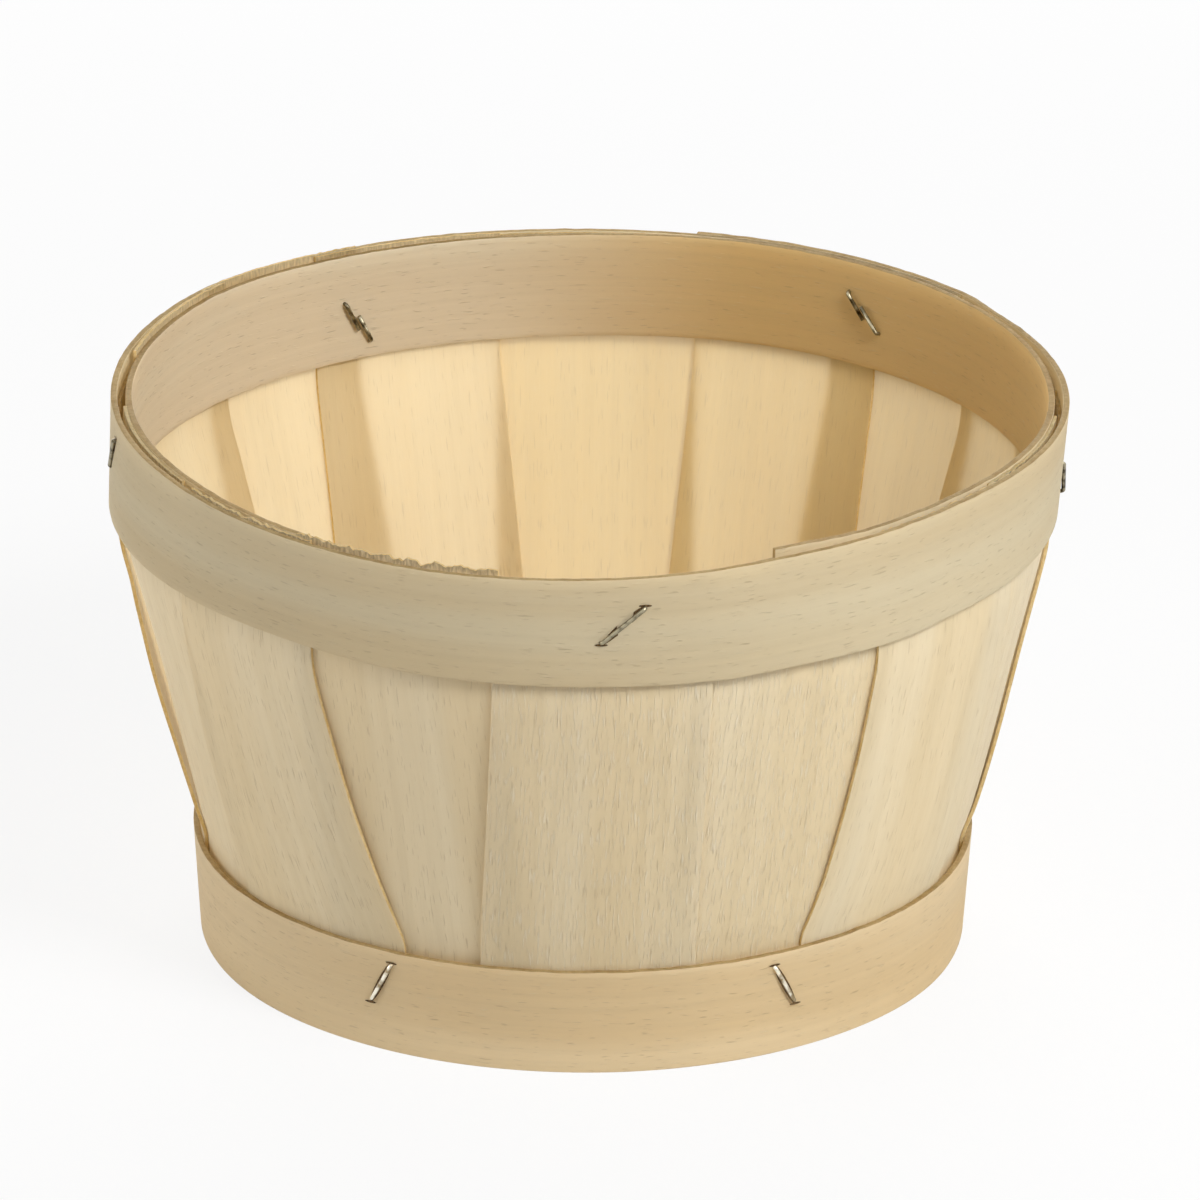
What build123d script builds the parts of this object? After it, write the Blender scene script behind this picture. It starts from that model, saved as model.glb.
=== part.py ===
from build123d import *
import math
import os

# Round chipwood fruit basket, in millimetres, +Z up, standing on the XY plane with its axis on Z.
# Azimuths are degrees about Z from the front, which is -Y, towards +X.

# Hoops of thick veneer
rim_radius = 112.5
basket_height = 133.0
rim_hoop_width = 26.2
base_hoop_width = 26.0
base_top_radius = 93.6
base_taper = 1.5
hoop_thickness = 1.5

# Strips of thin veneer, each one running from rim to rim under the bottom
strip_width = 49.5
strip_thickness = 0.85
layer_clearance = 0.1
stave_top_drop = 0.8
floor_height = 4.0
fold_radius = 5.0

# The wall's line between the two hoops
rim_bend_drop = 5.0
foot_bend_rise = 2.2
swell_rise = 5.0
swell_out = 1.4
belly_height_share = 0.62
belly_out = -0.3
bend_share = 0.42

# How the strips were laid by hand: azimuths in degrees, and sideways shifts as shares of their width.
# Lower strips show outside, upper strips inside; each list runs from the bottom of the stack up.
lower_azimuths = [0.25, 46.4, 91.8, -46.5]
lower_shift_shares = [0.065, 0.103, 0.12, 0.03]
upper_azimuths = [25.1, -25.2, 68.0, -70.0]
upper_shift_shares = [0.033, 0.083, 0.077, 0.0]

# The overlapped ends of each hoop: azimuth where the band starts, and lengths along the band
outer_lap_azimuth = 126.0
outer_lap_length = 78.0
inner_lap_azimuth = 23.0
inner_lap_length = 60.0
base_lap_azimuth = 140.0
base_lap_length = 60.0
lap_ramp_length = 16.0

# Wire staples, driven by hand: azimuths, and slopes of their crowns, in degrees
wire_diameter = 1.0
wire_bend_radius = 0.8
wire_clearance = 0.12
clinch_splay_share = 0.12
rim_crown_length = 12.8
rim_clinch_length = 7.8
rim_staple_azimuths = [4.5, 86.0, 140.6, -148.5, -79.7]
rim_staple_slopes = [40, 128, 43, 56, 49]
rim_staple_height_shares = [0.49, 0.33, 0.62, 0.37, 0.67]
base_crown_length = 11.6
base_clinch_length = 5.2
base_staple_height_share = 0.68
base_staple_azimuths = [30.2, 101.0, 154.0, -157.0, -103.5, -29.5]
base_staple_slopes = [120, 58, 62, 118, 60, 61]
star_crown_length = 12.0
star_clinch_length = 5.2
star_staple_azimuth = 12.0
overrun = 3.0
front_heading = -90.0

layer_pitch = strip_thickness + layer_clearance
lap_rise = hoop_thickness + layer_clearance
rim_hoop_bottom = basket_height - rim_hoop_width
stave_top = basket_height - stave_top_drop
foot_lean = math.degrees(math.atan2(base_taper, base_hoop_width))
seat_inset = hoop_thickness + layer_clearance
outer_hoop_radius = rim_radius - hoop_thickness / 2
inner_hoop_radius = outer_hoop_radius - seat_inset - 2 * layer_pitch
lower_strips = list(zip(lower_azimuths, lower_shift_shares))
upper_strips = list(zip(upper_azimuths, upper_shift_shares))
star_depth = layer_pitch * (len(lower_strips) + len(upper_strips)) - layer_clearance


def base_hoop_radius(height):
    """Outer radius of the base hoop, or of its cone carried on, at a height."""
    return base_top_radius - base_taper * (1 - height / base_hoop_width)


def wall_points(lift):
    """Corners of the outer strips' outer face, from the axis out and up, with the bottom lifted."""
    floor = floor_height + lift
    foot_bend = base_hoop_width + foot_bend_rise
    foot = Vector(base_hoop_radius(floor) - seat_inset, floor)
    waist = Vector(base_hoop_radius(foot_bend) - seat_inset, foot_bend)
    swell = Vector(waist.X + swell_out + swell_rise * math.tan(math.radians(foot_lean)), waist.Y + swell_rise)
    shoulder = Vector(rim_radius - seat_inset, rim_hoop_bottom - rim_bend_drop)
    belly = swell + (shoulder - swell) * belly_height_share + Vector(belly_out, 0)
    return [Vector(0, floor), foot, waist, swell, belly, shoulder, Vector(shoulder.X, stave_top)]


def run_normals(points):
    """Unit normals of a line's runs, pointing into the basket."""
    runs = [(after - before).normalized() for before, after in zip(points, points[1:])]
    return [Vector(-run.Y, run.X) for run in runs]


def wall_line(depth, lift):
    """The wall's line, moved into the basket by a depth, with round bends that end clear of the hoops."""
    points = wall_points(lift)
    bend_limits = {2: foot_bend_rise, 5: rim_bend_drop}
    normals = run_normals(points)
    moved = [points[0] + normals[0] * depth]
    radii = []
    for index in range(1, len(points) - 1):
        before, after = normals[index - 1], normals[index]
        moved.append(points[index] + (before + after) * (depth / (1 + before.dot(after))))
        half_turn = math.radians(before.get_angle(after)) / 2
        inward = 1 if before.X * after.Y > before.Y * after.X else -1
        run = min((points[index] - points[index - 1]).length, (points[index + 1] - points[index]).length)
        reach = min(bend_share * run, bend_limits.get(index, run))
        bend = fold_radius if index == 1 else reach / math.tan(half_turn)
        radii.append(bend - inward * depth)
    moved.append(points[-1] + normals[-1] * depth)
    return FilletPolyline(*moved, radius=radii)


def bowl(depth, lift):
    """A whole bowl of veneer, one strip thick, at a depth inside the outer face."""
    outside = wall_line(depth, lift)
    inside = wall_line(depth + strip_thickness, lift)
    section = make_face([outside, Line(outside @ 1, inside @ 1), inside, Line(inside @ 0, outside @ 0)])
    return revolve(Plane.XZ * section, Axis.Z)


def strip(azimuth, shift_share, depth, lift):
    """One full-length strip: the part of the bowl that lies in a slab as wide as the veneer."""
    slab = Box(strip_width, 2 * (rim_radius + overrun), 2 * (basket_height + overrun))
    return bowl(depth, lift) & (Rot(0, 0, azimuth) * Pos(strip_width * shift_share, 0, 0) * slab)


def band_outline(radius, rise, start, lap_length):
    """Plan of a bent band whose last stretch climbs over its own start by a rise."""
    ramp = math.degrees(lap_ramp_length / radius)
    lap = math.degrees(lap_length / radius)
    sides = []
    for skin in (radius - hoop_thickness / 2, radius + hoop_thickness / 2):
        turn = CenterArc((0, 0), skin, start + front_heading, 360 - ramp)
        tail = CenterArc((0, 0), skin + rise, start + front_heading, lap)
        climb = Spline(turn @ 1, tail @ 0, tangents=(turn % 1, tail % 0))
        sides.append((turn, climb, tail))
    inner, outer = sides
    caps = [Line(inner[0] @ 0, outer[0] @ 0), Line(inner[2] @ 1, outer[2] @ 1)]
    return make_face([*inner, *outer, *caps])


def hoop(lower_radius, upper_radius, bottom, width, rise, start, lap_length):
    """A hoop bent from one band, its radii taken at the band's middle."""
    foot = Pos(0, 0, bottom) * band_outline(lower_radius, rise, start, lap_length)
    head = Pos(0, 0, bottom + width) * band_outline(upper_radius, rise, start, lap_length)
    return loft([foot, head], ruled=True)


def staple_wire(crown, depth, clinch):
    """A clinched staple: crown outside along X, legs along Y through a stack of a given depth."""
    outside = -(wire_diameter / 2 + wire_clearance)
    inside = depth + wire_diameter / 2 + wire_clearance
    splay = clinch * clinch_splay_share
    points = [(clinch - crown / 2, inside, splay), (-crown / 2, inside, 0), (-crown / 2, outside, 0)]
    points += [(-x, y, -z) for x, y, z in reversed(points)]
    path = FilletPolyline(*points, radius=wire_bend_radius)
    return sweep(Plane(path @ 0, z_dir=path % 0) * Circle(wire_diameter / 2), path)


def staple_holes(crown, depth):
    """The two holes that a staple's legs pierce in the stack."""
    length = depth + 2 * overrun
    hole = Rot(90, 0, 0) * Cylinder(wire_diameter / 2 + wire_clearance, length)
    return [Pos(side * crown / 2, depth / 2, 0) * hole for side in (-1, 1)]


def bow(radius, chord):
    """How far a curve of a radius stands off the middle of a chord."""
    return radius - math.sqrt(radius ** 2 - (chord / 2) ** 2)


def driven(azimuth, slope, radius, height, lean, crown, stack, clinch):
    """A staple driven into the wall, and its holes, with the crown on a radius."""
    place = Rot(0, 0, azimuth) * Pos(0, -radius, height) * Rot(lean, 0, 0) * Rot(0, -slope, 0)
    depth = stack + bow(radius - stack, crown)
    return place * staple_wire(crown, depth, clinch), [place * hole for hole in staple_holes(crown, depth)]


def lap_at(azimuth, start, lap_length, radius):
    """How much an overlap of a hoop's ends adds to the stack at an azimuth."""
    return lap_rise if (azimuth - start) % 360 < math.degrees(lap_length / radius) else 0


def rim_staple(azimuth, slope, height_share):
    outer_lap = lap_at(azimuth, outer_lap_azimuth, outer_lap_length, outer_hoop_radius)
    inner_lap = lap_at(azimuth, inner_lap_azimuth, inner_lap_length, inner_hoop_radius)
    stack = 2 * (hoop_thickness + strip_thickness) + 3 * layer_clearance + outer_lap + inner_lap
    height = rim_hoop_bottom + rim_hoop_width * height_share
    return driven(azimuth, slope, rim_radius + outer_lap, height, 0, rim_crown_length, stack, rim_clinch_length)


def strip_layers(azimuth, radius, reach):
    """Layers of strips at a place on the wall: two where an upper strip comes within reach of it."""
    for laid, shift_share in upper_strips:
        aside = radius * math.sin(math.radians(azimuth - laid)) - strip_width * shift_share
        if abs(aside) < strip_width / 2 + reach:
            return 2
    return 1


def base_staple(azimuth, slope):
    height = base_hoop_width * base_staple_height_share
    radius = base_hoop_radius(height)
    layers = strip_layers(azimuth, radius, base_crown_length / 2)
    lap = lap_at(azimuth, base_lap_azimuth, base_lap_length, base_top_radius)
    stack = hoop_thickness + layers * layer_pitch + lap
    return driven(azimuth, slope, radius + lap, height, foot_lean, base_crown_length, stack, base_clinch_length)


def star_staple():
    place = Pos(0, 0, floor_height + star_depth) * Rot(0, 0, star_staple_azimuth) * Rot(-90, 0, 0)
    wire = place * staple_wire(star_crown_length, star_depth, star_clinch_length)
    return wire, [place * hole for hole in staple_holes(star_crown_length, star_depth)]


def build():
    """Every piece of the basket by its name."""
    staples = {}
    rim_holes, base_holes = [], []
    rim_places = zip(rim_staple_azimuths, rim_staple_slopes, rim_staple_height_shares)
    for number, place in enumerate(rim_places, 1):
        staples[f"rim_staple_{number}"], holes = rim_staple(*place)
        rim_holes += holes
    for number, place in enumerate(zip(base_staple_azimuths, base_staple_slopes), 1):
        staples[f"base_staple_{number}"], holes = base_staple(*place)
        base_holes += holes
    staples["star_staple"], star_holes = star_staple()

    strips = {}
    for level, (azimuth, shift_share) in enumerate(lower_strips):
        strips[f"lower_strip_{level + 1}"] = strip(azimuth, shift_share, 0, level * layer_pitch)
    for level, (azimuth, shift_share) in enumerate(upper_strips, len(lower_strips) - 1):
        name = f"upper_strip_{level + 2 - len(lower_strips)}"
        strips[name] = strip(azimuth, shift_share, layer_pitch, level * layer_pitch)

    outer = hoop(outer_hoop_radius, outer_hoop_radius, rim_hoop_bottom, rim_hoop_width, lap_rise,
                 outer_lap_azimuth, outer_lap_length)
    inner = hoop(inner_hoop_radius, inner_hoop_radius, rim_hoop_bottom, rim_hoop_width, -lap_rise,
                 inner_lap_azimuth, inner_lap_length)
    base_radius = base_top_radius - hoop_thickness / 2
    base = hoop(base_radius - base_taper, base_radius, 0, base_hoop_width, lap_rise,
                base_lap_azimuth, base_lap_length)

    pieces = {name: body - rim_holes - base_holes - star_holes for name, body in strips.items()}
    pieces["outer_rim_hoop"] = outer - rim_holes
    pieces["inner_rim_hoop"] = inner - rim_holes
    pieces["base_hoop"] = base - base_holes
    return pieces | staples


os.makedirs("parts", exist_ok=True)
for name, piece in build().items():
    export_step(piece, f"parts/{name}.step")
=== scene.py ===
import math
import bmesh
import bpy
from mathutils import Matrix, Vector, noise


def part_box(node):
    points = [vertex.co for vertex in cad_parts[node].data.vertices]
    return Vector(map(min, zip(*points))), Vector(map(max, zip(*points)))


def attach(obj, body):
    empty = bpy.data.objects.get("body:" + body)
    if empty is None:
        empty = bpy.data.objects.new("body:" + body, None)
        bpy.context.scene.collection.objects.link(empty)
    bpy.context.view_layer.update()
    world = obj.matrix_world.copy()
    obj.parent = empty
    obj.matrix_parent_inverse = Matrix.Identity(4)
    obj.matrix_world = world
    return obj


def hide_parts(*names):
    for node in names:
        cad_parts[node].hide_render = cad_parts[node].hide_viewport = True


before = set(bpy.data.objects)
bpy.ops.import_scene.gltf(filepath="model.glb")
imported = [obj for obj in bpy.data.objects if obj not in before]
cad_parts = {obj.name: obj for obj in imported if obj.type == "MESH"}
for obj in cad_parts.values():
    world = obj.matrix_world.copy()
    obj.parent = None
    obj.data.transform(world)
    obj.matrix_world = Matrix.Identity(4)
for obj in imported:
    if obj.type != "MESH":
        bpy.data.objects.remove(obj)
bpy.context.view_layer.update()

# The eight strips are ribbons of peeled veneer, each one running from rim to rim under the bottom. The four
# lower ones are the outer staves, and the four upper ones the inner staves. They are laid in a star, creased
# at the foot and bent up as the wall. Each keeps its own slight waves, and its ends are torn, not cut.
mm = 0.001
rim_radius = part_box("outer_rim_hoop")[1].x
basket_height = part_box("outer_rim_hoop")[1].z
rim_hoop_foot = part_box("outer_rim_hoop")[0].z
base_hoop_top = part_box("base_hoop")[1].z
base_top_radius = 93.6 * mm
base_taper = 1.5 * mm
hoop_thickness = 1.5 * mm
strip_width = 49.5 * mm
strip_thickness = 0.85 * mm
layer_gap = 0.1 * mm
layer_pitch = strip_thickness + layer_gap
seat_inset = hoop_thickness + layer_gap
floor_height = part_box("lower_strip_1")[0].z
stave_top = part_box("lower_strip_1")[1].z
foot_bend_rise = 2.2 * mm
swell_out = 1.4 * mm
swell_rise = 5 * mm
belly_height_share = 0.62
belly_out = -0.3 * mm
rim_bend_drop = 5 * mm
bend_reaches = [4.4 * mm, 2.1 * mm, 2.1 * mm, 9 * mm, 5 * mm]


def wall_line(lift):
    """Corners of the outer staves' outer face, as radius and height, from the middle of the bottom up."""
    floor = floor_height + lift
    foot_bend = base_hoop_top + foot_bend_rise
    lean = base_taper / base_hoop_top
    foot = Vector((base_top_radius - base_taper + lean * floor - seat_inset, floor))
    waist = Vector((base_top_radius - base_taper + lean * foot_bend - seat_inset, foot_bend))
    swell = waist + Vector((swell_out + swell_rise * lean, swell_rise))
    shoulder = Vector((rim_radius - seat_inset, rim_hoop_foot - rim_bend_drop))
    belly = swell.lerp(shoulder, belly_height_share) + Vector((belly_out, 0))
    return [Vector((0, floor)), foot, waist, swell, belly, shoulder, Vector((shoulder.x, stave_top))]


def follow(corners, run):
    """Point and heading on a line after a run along it, with a bend that reaches away from each corner."""
    stations = [0.0]
    for before, after in zip(corners, corners[1:]):
        stations.append(stations[-1] + (after - before).length)
    for index, reach in enumerate(bend_reaches, 1):
        if abs(run - stations[index]) < reach:
            corner = corners[index]
            start = corner + (corners[index - 1] - corner).normalized() * reach
            end = corner + (corners[index + 1] - corner).normalized() * reach
            share = (run - stations[index] + reach) / (2 * reach)
            inner, outer = start.lerp(corner, share), corner.lerp(end, share)
            return inner.lerp(outer, share), (outer - inner).normalized()
    leg = max(index for index, station in enumerate(stations[:-1]) if run >= station)
    heading = (corners[leg + 1] - corners[leg]).normalized()
    return corners[leg] + heading * (run - stations[leg]), heading


def eased(stops, place):
    """A value that runs smoothly through (place, value) stops, and is level before and after them."""
    if place <= stops[0][0]:
        return stops[0][1]
    for index, ((start, low), (end, high)) in enumerate(zip(stops, stops[1:])):
        if place < end:
            span = end - start
            share = (place - start) / span
            before = stops[index - 1] if index else None
            after = stops[index + 2] if index + 2 < len(stops) else None
            leave = (high - before[1]) / (end - before[0]) * span if before else 0.0
            arrive = (after[1] - low) / (after[0] - start) * span if after else 0.0
            level = share * share * (3 - 2 * share)
            bend = share * (1 - share) * ((1 - share) * leave - share * arrive)
            return low + (high - low) * level + bend
    return stops[-1][1]


# The real basket is neither quite round nor quite level. Each list gives, by azimuth in degrees from the
# front towards the right, how many mm the rim's top, the rim hoops' foot, the wall or the base hoop stands
# out, and how many the rim's top and the rim hoops' foot stand up.
top_out = [(-180, 0), (-145, 0.3), (-124, 0.6), (-108, -0.2), (-90, -1.2), (-70, -1.0), (-40, 0), (60, 0.3),
           (85, 1.1), (100, 1.3), (125, 0.5), (150, 0), (180, 0)]
foot_out = [(-180, 0), (-120, -0.1), (-90, -0.4), (-60, -0.3), (-35, 0), (45, -0.1), (70, -0.5), (90, -0.8),
            (120, -0.2), (180, 0)]
wall_out = [(-180, 0), (-90, -0.3), (0, 0), (50, 0.2), (90, 1.2), (120, 0.2), (180, 0)]
base_out = [(-180, 0), (-90, -0.5), (-58, 0.5), (-30, 0.2), (0, 0), (30, 0.2), (60, 0.9), (90, -0.2),
            (180, 0)]
top_lift = [(-180, 1.0), (-160, 1.2), (-145, 1.4), (-127, 1.8), (-112, 1.2), (-95, 0.8), (-77, 0.9),
            (-60, 0.4), (-45, -0.9), (-30, -2.1), (-17, -2.7), (2, -2.4), (15, -1.5), (22, -0.6), (33, 0.2),
            (45, 1.2), (53, 1.5), (62, 1.2), (77, 0.6), (92, 0.3), (120, 0.8), (150, 1.2), (180, 1.0)]
foot_lift = [(-180, 0.6), (-148, 0.4), (-108, 0.4), (-65, 0.3), (-40, 0.1), (-29, -0.9), (-17, -1.9),
             (16, -1.9), (25, -1.0), (40, -0.5), (50, 0.7), (90, 0.8), (112, 1.0), (156, 1.1), (172, 0.8),
             (180, 0.6)]


def out_of_round(azimuth, height):
    """How far the basket's wall stands out at a place."""
    foot = eased(foot_out, azimuth)
    if height > rim_hoop_foot:
        top = eased(top_out, azimuth)
        return mm * (foot + (top - foot) * (height - rim_hoop_foot) / (basket_height - rim_hoop_foot))
    base = eased(base_out, azimuth)
    climb = max(0.0, height - base_hoop_top) / (rim_hoop_foot - base_hoop_top)
    return mm * (base + (foot - base) * climb + eased(wall_out, azimuth) * math.sin(math.pi * climb ** 0.6))


def out_of_level(azimuth, height):
    """How far a place on the wall stands above its level."""
    foot = eased(foot_lift, azimuth)
    if height > rim_hoop_foot:
        top = eased(top_lift, azimuth)
        return mm * (foot + (top - foot) * (height - rim_hoop_foot) / (basket_height - rim_hoop_foot))
    return mm * foot * max(0.0, height - base_hoop_top) / (rim_hoop_foot - base_hoop_top)


moved_radius = base_top_radius - 4 * mm


def settle(point):
    """Moves a point of the true shape to where it lies in the hand-made one. The bottom moves less and less
    towards its middle."""
    azimuth = math.degrees(math.atan2(point.x, -point.y))
    away = Vector((point.x, point.y, 0))
    reach = min(1.0, away.length / moved_radius)
    out = out_of_round(azimuth, point.z) * reach ** 4
    return point + away.normalized() * out + Vector((0, 0, out_of_level(azimuth, point.z)))


def finish_mesh(shape, name, materials):
    """Turns a bmesh into a smooth-shaded object with its materials, riding on the basket's one body."""
    mesh = bpy.data.meshes.new(name)
    shape.to_mesh(mesh)
    shape.free()
    mesh.polygons.foreach_set("use_smooth", [True] * len(mesh.polygons))
    for material in materials:
        mesh.materials.append(material)
    piece = bpy.data.objects.new(name, mesh)
    bpy.context.scene.collection.objects.link(piece)
    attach(piece, "root")
    return piece


def give_thickness(piece, thickness, offset, bevel):
    """Gives a bent sheet its thickness, with softened edges. Its second material is for the cut edges, and
    its third for the face that the thickness adds."""
    wall = piece.modifiers.new("thickness", "SOLIDIFY")
    wall.thickness = thickness
    wall.offset = offset
    wall.material_offset_rim = 1
    wall.material_offset = 2
    wall.use_quality_normals = True
    edge = piece.modifiers.new("worn_edge", "BEVEL")
    edge.width = bevel
    edge.segments = 2
    edge.limit_method = "ANGLE"
    edge.angle_limit = math.radians(60)


def veneer_sheet(columns, rows, bend, own_grain):
    """A flat ribbon of veneer as a grid, bent by a function of its two shares. Its UV is in metres, along
    and across the grain, moved sideways so that each ribbon has its own grain."""
    shape = bmesh.new()
    bmesh.ops.create_grid(shape, x_segments=columns, y_segments=rows, size=1)
    layer = shape.loops.layers.uv.new("grain")
    places = {}
    for vertex in shape.verts:
        point, along, across = bend(vertex.co.x, vertex.co.y)
        places[vertex] = (along, across + own_grain)
        vertex.co = settle(point)
    for face in shape.faces:
        for loop in face.loops:
            loop[layer].uv = places[loop.vert]
    return shape


class Value:
    """A shader value, so that sums and products are written as sums and products."""

    def __init__(self, finish, socket):
        self.finish = finish
        self.socket = socket

    def math(self, operation, *others):
        inputs = dict(enumerate(others))
        return self.finish.node("Math", {"operation": operation}, inputs)

    def __add__(self, other):
        return self.math("ADD", self, other)

    def __radd__(self, other):
        return self.math("ADD", other, self)

    def __sub__(self, other):
        return self.math("SUBTRACT", self, other)

    def __rsub__(self, other):
        return self.math("SUBTRACT", other, self)

    def __mul__(self, other):
        return self.math("MULTIPLY", self, other)

    def __rmul__(self, other):
        return self.math("MULTIPLY", other, self)

    def step(self, low, high):
        """0 below low and 1 above high, smooth between them."""
        settings = {"interpolation_type": "SMOOTHSTEP"}
        return self.finish.node("MapRange", settings, {"Value": self, "From Min": low, "From Max": high})

    def largest(self, other):
        return self.math("MAXIMUM", self, other)


class Finish:
    """The nodes of a material, or of the world, while they are put together."""

    def __init__(self, owner):
        owner.use_nodes = True
        self.owner = owner
        self.tree = owner.node_tree
        self.tree.nodes.clear()

    def node(self, kind, settings, inputs, output=0):
        """Adds a node: its settings first, then the values or links of its sockets. Returns one output."""
        node = self.tree.nodes.new("ShaderNode" + kind)
        for key, setting in settings.items():
            setattr(node, key, setting)
        for key, value in inputs.items():
            if isinstance(value, Value):
                self.tree.links.new(value.socket, node.inputs[key])
            else:
                node.inputs[key].default_value = value
        return Value(self, node.outputs[output]) if len(node.outputs) else None

    def grain(self):
        """The piece's own UV: metres along and across the grain."""
        return self.node("UVMap", {"uv_map": "grain"}, {})

    def along(self):
        """The distance along the grain, in metres."""
        return self.node("SeparateXYZ", {}, {0: self.grain()})

    def fibres(self, along, across, shift=0.0, detail=2.0, roughness=0.5):
        """Noise drawn out along the grain, by cycles per metre along and across it."""
        place = {"Vector": self.grain(), "Scale": (along, across, 1), "Location": (shift, shift, 0)}
        inputs = {"Vector": self.node("Mapping", {}, place), "Scale": 1.0, "Detail": detail,
                  "Roughness": roughness}
        return self.node("TexNoise", {"noise_dimensions": "2D"}, inputs)

    def specks(self, scale, detail):
        """Noise that is alike in all directions, on Object coordinates."""
        place = self.node("TexCoord", {}, {}, output=3)
        return self.node("TexNoise", {}, {"Vector": place, "Scale": scale, "Detail": detail})

    def blend(self, share, low, high):
        """A colour between two colours."""
        settings = {"data_type": "RGBA", "clamp_factor": True}
        return self.node("Mix", settings, {0: share, 6: low, 7: high}, output=2)

    def close(self, colour, roughness, height, relief, through, share):
        """Ends a veneer's material: a matt wood surface that lets a share of the light through."""
        bump = self.node("Bump", {}, {"Height": height, "Strength": 1.0, "Distance": relief})
        wood = self.node("BsdfPrincipled", {}, {"Base Color": colour, "Roughness": roughness,
                                                "Normal": bump, "Specular IOR Level": 0.25})
        glow = self.node("BsdfTranslucent", {}, {"Color": through})
        mixed = self.node("MixShader", {}, {0: share, 1: wood, 2: glow})
        self.node("OutputMaterial", {}, {"Surface": mixed})
        return self.owner


def new_material(name):
    return Finish(bpy.data.materials.new(name))


def tint(red, green, blue):
    """A colour as it reads on a screen, from 0 to 255, made linear."""
    return (*((channel / 255) ** 2.2 for channel in (red, green, blue)), 1)


def strip_finish(name, pale, warm, fuzz):
    """Peeled veneer of a strip: long soft streaks, fine pores and, where it is rough, short lifted fibres.
    Its torn ends are greyed. The front end lets less light through than the back end does."""
    look = new_material(name)
    broad = look.fibres(3, 45, detail=3).step(0.32, 0.7)
    streak = look.fibres(9, 420, shift=3, detail=3, roughness=0.6)
    pores = look.fibres(160, 2300, shift=7, detail=1).step(0.66, 0.8)
    tufts = look.fibres(170, 2300, shift=11, detail=2).step(0.55, 0.72)
    cloudy = look.fibres(12, 16, shift=17, detail=2)
    torn = look.fibres(500, 1500, shift=29, detail=2)
    along = look.along()
    ragged_reach = along.math("ABSOLUTE", along) + torn * 4 * mm
    tip = ragged_reach.step(ribbon_reach - 0.2 * mm, ribbon_reach + 2.6 * mm)
    body = look.blend(broad, pale, warm)
    body = look.blend((streak - 0.5) * 0.45 + cloudy * 0.1, body, tint(186, 164, 118))
    body = look.blend(pores * 0.28, body, tint(156, 130, 88))
    body = look.blend(tufts * fuzz * 0.5, body, tint(252, 244, 222))
    body = look.blend(tip * 0.85, body, tint(126, 104, 66))
    height = streak * 0.5 + tufts * fuzz - pores * 0.6
    thin = along.step(-90 * mm, 30 * mm) * 0.18 + 0.24
    return look.close(body, 0.62, height, 0.12 * mm, tint(250, 243, 226), thin)


def edge_finish(name, pale, dark, through):
    """The cut edge of veneer: end fibres greyed by handling, with fine dark flecks."""
    look = new_material(name)
    flecks = look.specks(900.0, 3.0)
    patches = look.specks(120.0, 2.0)
    colour = look.blend(flecks.step(0.35, 0.65) * 0.5 + patches.step(0.4, 0.7) * 0.4, pale, dark)
    return look.close(colour, 0.75, flecks, 0.15 * mm, through, 0.4)


ribbon_reach = base_top_radius - base_taper - seat_inset + stave_top - floor_height
cream = tint(241, 227, 195)
straw = tint(236, 218, 180)
smooth_birch = strip_finish("smooth_birch", cream, straw, 0.12)
furry_birch = strip_finish("furry_birch", cream, straw, 1.0)
# Two insides for the strips: a pale one, and a browner, warmer one that is painted shade, standing in for
# the warm light the wood throws about in the shaded right half of the inside.
inside_pale = strip_finish("inside_pale", tint(233, 214, 174), tint(229, 206, 160), 0.12)
inside_painted_shade = strip_finish("inside_painted_shade", tint(230, 206, 152), tint(225, 197, 136), 0.12)
strip_edge = edge_finish("strip_edge", tint(236, 222, 176), tint(200, 180, 124), tint(255, 214, 134))

# From the bottom of the star up: azimuth in degrees, sideways shift as a share of the width, and how far in
# mm the front and the back end stand above their place
lower_strips = [
    (0.25, 0.065, -0.6, 0.4),
    (46.4, 0.103, 0.3, 1.5),
    (91.8, 0.12, -3.0, -3.5),
    (-46.5, 0.0, 1.1, -0.8),
]
upper_strips = [
    (25.1, 0.033, -1.0, 1.2),
    (-25.2, 0.083, 1.6, 0.4),
    (68.0, 0.077, 0.2, 1.5),
    (-70.0, 0.0, 0.5, -1.5),
]
# What some ends do that a flat straight ribbon would not: a sideways drift in mm, the width in mm that is
# torn away beside the rim on the left, how ragged the end is, and how far in mm the left and the right edge
# stand off the wall. Drift and edges are stops by height in mm.
flat = [(0, 0.0)]
plain_tear = 0.22
plain_end = (flat, 0.0, plain_tear, flat, flat)
strip_habits = {
    ("lower", 1, "front"): ([(26, -2.0), (72, -0.5), (105, 0.5)], 0.0, plain_tear, flat, flat),
    ("lower", 2, "front"): ([(26, -1.1), (45, 1.2), (75, 2.4), (105, 1.6)], 0.0, 0.6, flat, flat),
    ("lower", 3, "front"): (flat, 0.0, 0.7, flat, flat),
    ("lower", 3, "back"): ([(26, 1.0), (105, 4.0)], 0.0, plain_tear, flat,
                           [(28, 0.0), (48, 0.6), (68, 1.2), (84, 0.6), (94, 0.0)]),
    ("lower", 4, "front"): ([(26, 7.3), (48, 4.3), (66, 2.0), (90, 0.3), (105, 0.0)], 6.0, 0.6, flat, flat),
    ("upper", 2, "front"): (flat, 0.0, 1.1, flat, flat),
    ("upper", 4, "front"): (flat, 0.0, plain_tear, [(50, 0.0), (75, -0.9), (92, -1.9), (106, -0.2)], flat),
}
torn_from = 66 * mm
torn_height = 39 * mm
held_share = 0.35
# How far in mm a stave stands loose half way up the wall: all over, with its waves and at its edges
outer_slack = (0.12, 0.3, 0.3)
inner_slack = (0.1, 0.25, 0.12)
strip_columns = 110
strip_rows = 230


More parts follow.
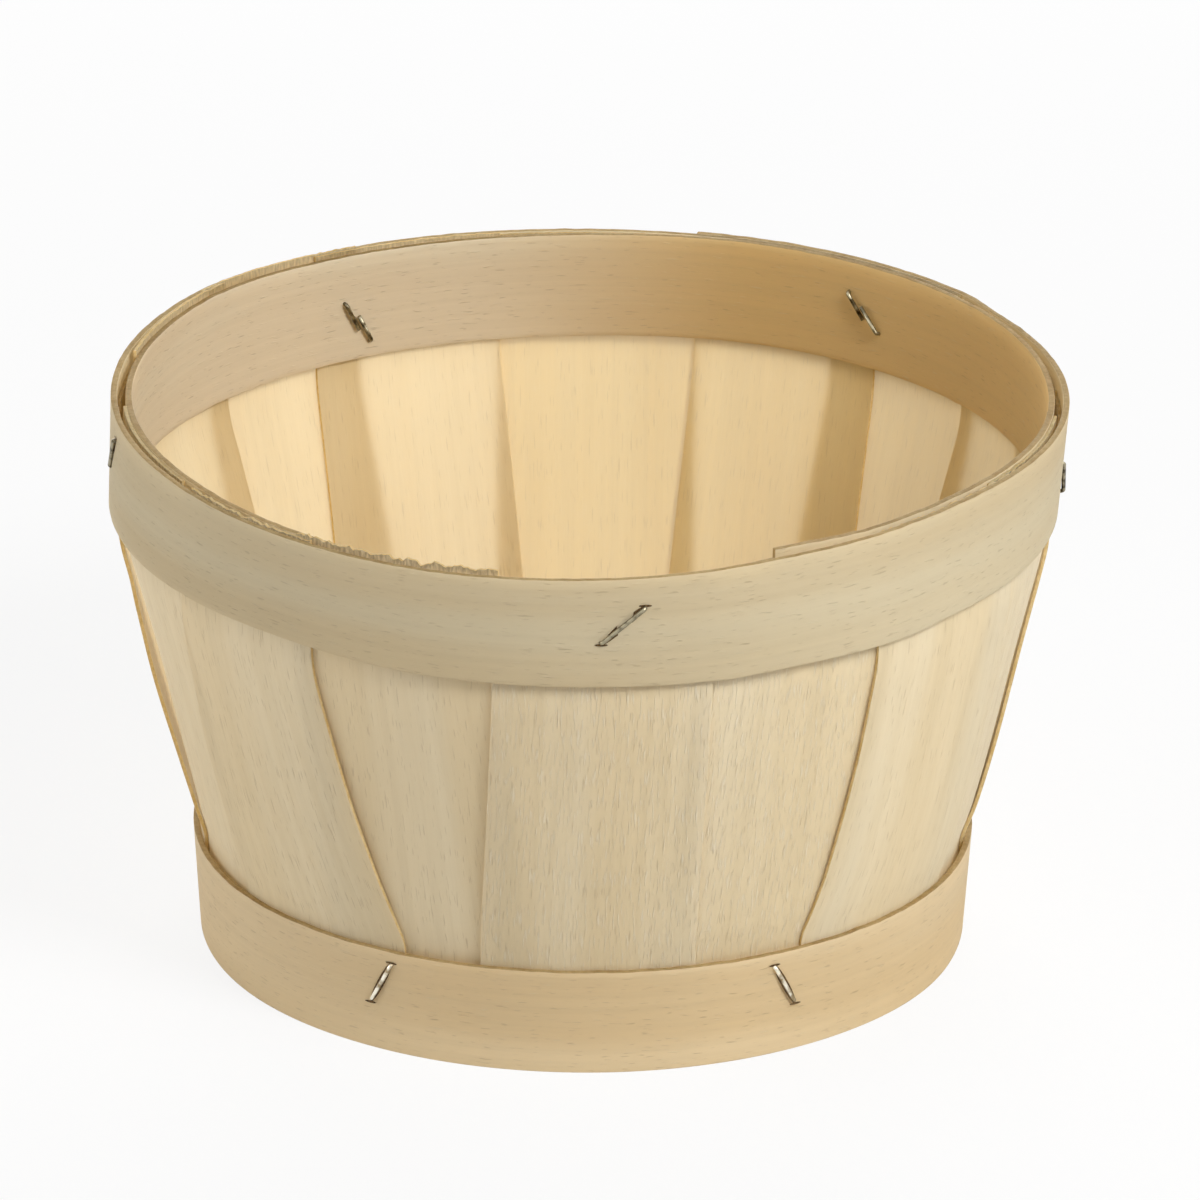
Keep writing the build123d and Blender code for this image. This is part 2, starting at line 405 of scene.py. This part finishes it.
def bent_strip(kind, number, azimuth, shift, depth, lift, rises):
    """One strip's outer face, bent from a flat ribbon."""
    corners = wall_line(lift)
    reach = sum((after - before).length for before, after in zip(corners, corners[1:]))
    fold_start = corners[1].x - bend_reaches[0]
    turn = Matrix.Rotation(math.radians(azimuth), 3, "Z")
    outer_stave = kind == "lower"
    seed = number if outer_stave else number + 4
    plain, waved, cupped = outer_slack if outer_stave else inner_slack

    def bend(across_share, along_share):
        end, facing = ("back", 1) if along_share > 0 else ("front", -1)
        drift, missing, ragged, left_off, right_off = strip_habits.get((kind, number, end), plain_end)
        run = abs(along_share) * reach
        profile, heading = follow(corners, run)
        height = profile.y
        on_wall = max(0.0, min(1.0, (height - base_hoop_top) / (rim_hoop_foot - base_hoop_top)))
        left = across_share * facing > 0
        gone = missing * mm * max(0.0, (height - torn_from) / torn_height) if left else 0.0
        across = across_share * (strip_width / 2 - gone)
        inward = Vector((-heading.y, heading.x))
        slack = math.sin(math.pi * on_wall) ** 0.8
        wave = noise.noise(Vector((across * 45, along_share * reach * 22, seed)))
        cup = abs(across_share) ** 3
        loose = slack * mm * max(0.0, plain + waved * wave + cupped * cup)
        stand = -loose if outer_stave else loose
        edge_off = eased(left_off if left else right_off, height / mm) * mm
        stand -= edge_off * max(0.0, abs(across_share) - held_share) / (1 - held_share)
        profile = profile + inward * (depth + stand)
        drifted = eased(drift, height / mm) * mm * min(1.0, run / fold_start) ** 2
        side = across + strip_width * shift + drifted
        if run < fold_start:
            forward = run * math.sqrt(1 - (side / fold_start) ** 2)
        else:
            forward = math.sqrt(max(0.0, profile.x ** 2 - side ** 2))
        rise = rises[1] if facing > 0 else rises[0]
        near_top = max(0.0, (height - rim_hoop_foot) / (stave_top - rim_hoop_foot))
        fibre = 0.7 * noise.noise(Vector((across * 900, seed, facing)))
        tuft = noise.noise(Vector((across * 330, seed, facing)))
        lifted = profile.y + near_top ** 2 * mm * (rise + ragged * (fibre + tuft))
        point = turn @ Vector((side, forward * facing, lifted))
        return point, along_share * ribbon_reach, across

    sheet = veneer_sheet(strip_columns, strip_rows, bend, seed * 0.7)
    bmesh.ops.reverse_faces(sheet, faces=sheet.faces)
    return sheet


def lay_strips(kind, strips, depth, first_level, finishes, inner_finishes):
    """Lays four strips, one on another, with their outer and inner faces' finishes."""
    for index, (azimuth, shift, front_rise, back_rise) in enumerate(strips):
        name = f"{kind}_strip_{index + 1}"
        lift = (first_level + index) * layer_pitch
        sheet = bent_strip(kind, index + 1, azimuth, shift, depth, lift, (front_rise, back_rise))
        piece = finish_mesh(sheet, name + "_veneer", [finishes[index], strip_edge, inner_finishes[index]])
        give_thickness(piece, strip_thickness, -1, 0.12 * mm)
        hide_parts(name)


# Strips whose back ends line the right and the back of the inside take the browner inside, which is painted
# shade. Those that line the left take the pale one.
lay_strips("lower", lower_strips, 0, 0, [furry_birch, smooth_birch, smooth_birch, smooth_birch],
           [inside_painted_shade, inside_pale, inside_pale, inside_painted_shade])
lay_strips("upper", upper_strips, layer_pitch, 3, [furry_birch, smooth_birch, furry_birch, smooth_birch],
           [inside_pale, inside_painted_shade, inside_pale, inside_painted_shade])

# The three hoops are bands of thicker veneer with the grain round the basket. Each is bent into a ring with
# its ends lapped: one outside and one inside the stave tops, and one round the foot.
inner_hoop_radius = rim_radius - hoop_thickness / 2 - seat_inset - 2 * layer_pitch
lap_rise = hoop_thickness + layer_gap
lap_ramp = 16 * mm
hoop_columns = 620
hoop_rows = 18
hoop_wave = 0.12 * mm


def bent_hoop(foot_radius, head_radius, bottom, width, rise, start, lap, lifts, seed):
    """One hoop, bent from a flat band that starts at an azimuth and laps its start. lifts gives how many mm
    its whole width stands above its place, by the length in mm along the band."""
    middle = (foot_radius + head_radius) / 2
    turn_length = math.tau * middle
    band = turn_length + lap

    def bend(along_share, up_share):
        along = (along_share + 1) / 2 * band
        up = (up_share + 1) / 2
        climb = eased([(turn_length - lap_ramp, 0), (turn_length, 1)], along)
        azimuth = start + math.degrees(along / middle)
        lift = eased(lifts, along / mm) * mm
        wave = noise.noise(Vector((along * 24, up * 0.7, seed)))
        chips = noise.noise(Vector((along * 150, up * 2, seed + 5)))
        splinters = noise.noise(Vector((along * 320, up, seed)))
        radius = foot_radius + (head_radius - foot_radius) * up + rise * climb + hoop_wave * wave
        angle = math.radians(azimuth)
        off_table = min(1.0, bottom / mm + up * 4)
        height = bottom + width * up + lift + hoop_wave * (chips + splinters) * off_table
        return Vector((radius * math.sin(angle), -radius * math.cos(angle), height)), along, up * width

    return veneer_sheet(hoop_columns, hoop_rows, bend, seed * 0.9)


def hoop_finish(name, pale, warm, painted_shade):
    """Hoop veneer: fine lines round the basket, short faint flecks of rays and a few pale torn fibres. The
    first quarter metre of the band, by its start, may be painted browner as shade."""
    look = new_material(name)
    broad = look.fibres(4, 60, detail=3).step(0.3, 0.7)
    lines = look.fibres(7, 620, shift=5, detail=3, roughness=0.6)
    flecks = look.fibres(240, 2000, shift=9, detail=1.5).step(0.66, 0.8)
    torn = look.fibres(180, 1700, shift=23, detail=1.5).step(0.68, 0.82)
    cloudy = look.fibres(14, 30, shift=31, detail=2)
    body = look.blend(broad, pale, warm)
    # Painted shade: the band's first quarter metre turns to the shade colour.
    body = look.blend(1 - look.along().step(0.25, 0.33), body, painted_shade)
    body = look.blend((lines - 0.5) * 0.3 + cloudy * 0.12, body, tint(170, 150, 112))
    body = look.blend(flecks * 0.26, body, tint(130, 108, 76))
    body = look.blend(torn * 0.32, body, tint(238, 228, 202))
    height = lines * 0.4 + torn * 0.7 - flecks * 0.6
    return look.close(body, 0.66, height, 0.12 * mm, tint(240, 224, 190), 0.3)


hoop_edge = edge_finish("hoop_edge", tint(172, 158, 120), tint(112, 96, 62), tint(240, 214, 166))
rim_pale = tint(229, 217, 185)
rim_veneer = hoop_finish("rim_hoop_veneer", rim_pale, tint(223, 206, 169), rim_pale)
inner_pale = tint(253, 244, 218)
# The inner hoop's first quarter metre runs round its inside on the right, where it is painted browner:
# painted shade for the side lit only by warm light off the wood.
inner_veneer = hoop_finish("inner_hoop_veneer", inner_pale, tint(248, 232, 202), tint(235, 200, 138))
base_pale = tint(243, 223, 184)
base_veneer = hoop_finish("base_hoop_veneer", base_pale, tint(236, 212, 168), base_pale)

outer_lap_start = 126
outer_lap = 78 * mm
inner_lap_start = 23
inner_lap = 60 * mm
inner_lifts = [(0, 0.9), (30, 0.0), (120, 0.1), (165, 0.9), (250, 0.8), (300, 0.0), (360, -0.5), (470, -0.3),
               (570, 0.0), (622, -2.2), (672, -2.2), (740, -1.2)]
base_lap_start = 140
base_lap = 60 * mm
# The base hoop leans out, so its outer face reaches a hair lower than its middle, which starts this high
lean_drop = 0.04 * mm
rim_middle = rim_radius - hoop_thickness / 2
rim_hoop_width = basket_height - rim_hoop_foot
outer = bent_hoop(rim_middle, rim_middle, rim_hoop_foot, rim_hoop_width, lap_rise,
                  outer_lap_start, outer_lap, flat, 1)
inner = bent_hoop(inner_hoop_radius, inner_hoop_radius, rim_hoop_foot, rim_hoop_width, -lap_rise,
                  inner_lap_start, inner_lap, inner_lifts, 2)
base_middle = base_top_radius - hoop_thickness / 2
base = bent_hoop(base_middle - base_taper, base_middle, lean_drop, base_hoop_top - lean_drop, lap_rise,
                 base_lap_start, base_lap, flat, 3)
for name, sheet, outer_face, inner_face in (("outer_rim_hoop", outer, rim_veneer, rim_veneer),
                                            ("inner_rim_hoop", inner, rim_veneer, inner_veneer),
                                            ("base_hoop", base, base_veneer, base_veneer)):
    piece = finish_mesh(sheet, name + "_band", [outer_face, hoop_edge, inner_face])
    give_thickness(piece, hoop_thickness, 0, 0.25 * mm)
    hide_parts(name)

# The staples are galvanised wire. Those of the hoops are driven slanting through hoop and staves, clinched
# inside, and gone out of round with the hoop. Under each one's crown a dark sliver is painted shadow, partly
# crushed wood, and across each leg a dark sliver is painted shade in the split it made. One more staple ties
# the star under the bottom.
crown_depth = 1.3 * mm
driven_in = 0.2 * mm
groove_shadow_width = 1.9 * mm
split_shade_width = 0.6 * mm
split_reach = 1.5 * mm
# How far outside the crown's lowest and highest points the marks have to lie, to be a hair off the hoop
rim_mark_out = 0.34 * mm
base_mark_out = 0.5 * mm


def wire_finish(name, bright, dull):
    """Drawn wire, bright where it is clean and dull where it is stained."""
    look = new_material(name)
    stains = look.specks(420.0, 3.0)
    colour = look.blend(stains.step(0.42, 0.66), bright, dull)
    bump = look.node("Bump", {}, {"Height": stains, "Strength": 0.4, "Distance": 0.05 * mm})
    metal = look.node("BsdfPrincipled", {}, {"Base Color": colour, "Metallic": 1.0, "Normal": bump,
                                             "Roughness": stains * 0.2 + 0.25})
    look.node("OutputMaterial", {}, {"Surface": metal})
    return look.owner


def split_shade_finish():
    """Painted shade: wood as dark as it looks in a split or in the groove under a staple's crown."""
    look = new_material("split_and_groove_shade")
    colour = look.blend(look.specks(2500.0, 2.0).step(0.4, 0.6), tint(66, 48, 28), tint(112, 88, 54))
    wood = look.node("BsdfPrincipled", {}, {"Base Color": colour, "Roughness": 0.9})
    look.node("OutputMaterial", {}, {"Surface": wood})
    return look.owner


def add_shade_sliver(staple, start, end, width):
    """Painted shade in a split, or painted shadow in a crushed groove, as a flat dark sliver on the hoop's
    face.
    """
    middle = (start + end) / 2
    away = Vector((middle.x, middle.y, 0)).normalized()
    along = (end - start) / 2
    across = away.cross(along).normalized() * width / 2
    shape = Matrix.Translation(middle) @ Matrix((along, across, away)).transposed().to_4x4()
    made = bmesh.ops.create_circle(staple, cap_ends=True, segments=16, radius=1, matrix=shape)
    for face in {face for vertex in made["verts"] for face in vertex.link_faces}:
        face.material_index = 1


def mark_wood(staple, away, driven, mark_out):
    """Drives a staple in, and lays dark slivers of painted shade on the veneer along its crown and at its
    two legs.
    """
    crown_out = max(vertex.co.dot(away) for vertex in staple.verts)
    crown = [vertex.co for vertex in staple.verts if vertex.co.dot(away) > crown_out - crown_depth]
    foot = min(crown, key=lambda point: point.z) + away * (driven + mark_out)
    head = max(crown, key=lambda point: point.z) + away * (driven + mark_out)
    bmesh.ops.translate(staple, verts=staple.verts, vec=away * driven)
    sideways = Vector((0, 0, 1)).cross(away) * split_reach
    # Painted shadow under the crown, partly crushed wood, and painted shade in the split at each leg.
    add_shade_sliver(staple, foot, head, groove_shadow_width)
    for leg in (foot, head):
        add_shade_sliver(staple, leg - sideways, leg + sideways, split_shade_width)


rim_wire = wire_finish("rim_wire", tint(158, 150, 126), tint(64, 54, 36))
base_wire = wire_finish("base_wire", tint(244, 238, 220), tint(150, 132, 100))
split_and_groove_shade = split_shade_finish()
for name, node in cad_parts.items():
    if "staple" in name:
        staple = bmesh.new()
        staple.from_mesh(node.data)
        bmesh.ops.remove_doubles(staple, verts=staple.verts, dist=0.001 * mm)
        low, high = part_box(name)
        middle = (low + high) / 2
        azimuth = math.degrees(math.atan2(middle.x, -middle.y))
        away = Vector((middle.x, middle.y, 0)).normalized()
        on_rim = name.startswith("rim")
        if name != "star_staple":
            driven = out_of_round(azimuth, middle.z) - driven_in
            mark_wood(staple, away, driven, rim_mark_out if on_rim else base_mark_out)
        piece = finish_mesh(staple, name + "_wire", [rim_wire if on_rim else base_wire, split_and_groove_shade])
        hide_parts(name)

# A white table and a white background, both bright to the eye. As a light the background is dim, and the
# table only gives back what falls on it. It still takes a share of the basket's shadow.
floor = bmesh.new()
bmesh.ops.create_grid(floor, x_segments=1, y_segments=1, size=4)
floor_mesh = bpy.data.meshes.new("table")
floor.to_mesh(floor_mesh)
floor.free()
table = bpy.data.objects.new("table", floor_mesh)
bpy.context.scene.collection.objects.link(table)


def seen_directly(look):
    """1 where the eye looks straight, or by way of metal or glass, and 0 where light spreads."""
    outputs = look.node("LightPath", {}, {}).socket.node.outputs
    seen, mirrored, refracted = (Value(look, outputs[f"Is {kind} Ray"])
                                 for kind in ("Camera", "Glossy", "Transmission"))
    return seen.largest(mirrored).largest(refracted)


paper = new_material("white_paper")
lit = paper.node("BsdfDiffuse", {}, {"Color": (0.9, 0.9, 0.9, 1)})
white = paper.node("Emission", {}, {"Color": (1, 1, 1, 1), "Strength": 1.0})
sheet = paper.node("MixShader", {}, {0: seen_directly(paper) * 0.85, 1: lit, 2: white})
paper.node("OutputMaterial", {}, {"Surface": sheet})
table.data.materials.append(paper.owner)

studio = Finish(bpy.data.worlds.new("studio"))
soft = studio.node("Background", {}, {"Color": (1, 1, 1, 1), "Strength": 0.04})
bright = studio.node("Background", {}, {"Color": (1, 1, 1, 1), "Strength": 1.0})
backdrop = studio.node("MixShader", {}, {0: seen_directly(studio), 1: soft, 2: bright})
studio.node("OutputWorld", {}, {"Surface": backdrop})
bpy.context.scene.world = studio.owner

# Soft round lamps. A broad low one behind the basket shines through its thin wall. The key stands in front,
# on the right, with a weaker one beside it, and the three on the left fill that side and the inside.


def lamp(name, azimuth, elevation, distance, size, power):
    """A round lamp aimed at the basket's foot: angles in degrees, distance and size in metres, watts."""
    light = bpy.data.lights.new(name, "AREA")
    light.shape = "DISK"
    light.size = size
    light.energy = power
    turn, climb = math.radians(azimuth), math.radians(elevation)
    back = Vector((math.sin(turn) * math.cos(climb), -math.cos(turn) * math.cos(climb), math.sin(climb)))
    stand = bpy.data.objects.new(name, light)
    stand.location = back * distance
    stand.rotation_euler = back.to_track_quat("Z", "Y").to_euler()
    stand.visible_camera = False
    bpy.context.scene.collection.objects.link(stand)


lamp("key", 40, 45, 1.6, 0.5, 15.5)
lamp("right", 70, 25, 1.6, 0.5, 4.3)
lamp("left_front", -40, 22, 1.6, 0.8, 1.0)
lamp("left_above", -50, 58, 1.6, 0.6, 1.6)
lamp("left", -90, 12, 2.0, 1.4, 15)
lamp("back", 180, 10, 2.0, 2.0, 61)

# The camera stands in front and above, as the photograph's did.
camera = bpy.data.cameras.new("camera")
camera.lens = 239.08
camera.sensor_width = 36
camera.clip_start = 0.05
eye = Vector((0, -1.7523, 0.7910))
turn = math.radians(0.127)
pitch = math.radians(22.078)
roll = math.radians(0.458)
ahead = Vector((math.sin(turn) * math.cos(pitch), math.cos(turn) * math.cos(pitch), -math.sin(pitch)))
right = ahead.cross(Vector((0, 0, 1))).normalized()
up = right.cross(ahead)
tilted_right = math.cos(roll) * right + math.sin(roll) * up
tilted_up = math.cos(roll) * up - math.sin(roll) * right
holder = bpy.data.objects.new("camera", camera)
aim = Matrix((tilted_right, tilted_up, -ahead)).transposed().to_4x4()
holder.matrix_world = Matrix.Translation(eye) @ aim
bpy.context.scene.collection.objects.link(holder)
bpy.context.scene.camera = holder
bpy.context.scene.view_settings.view_transform = "Standard"
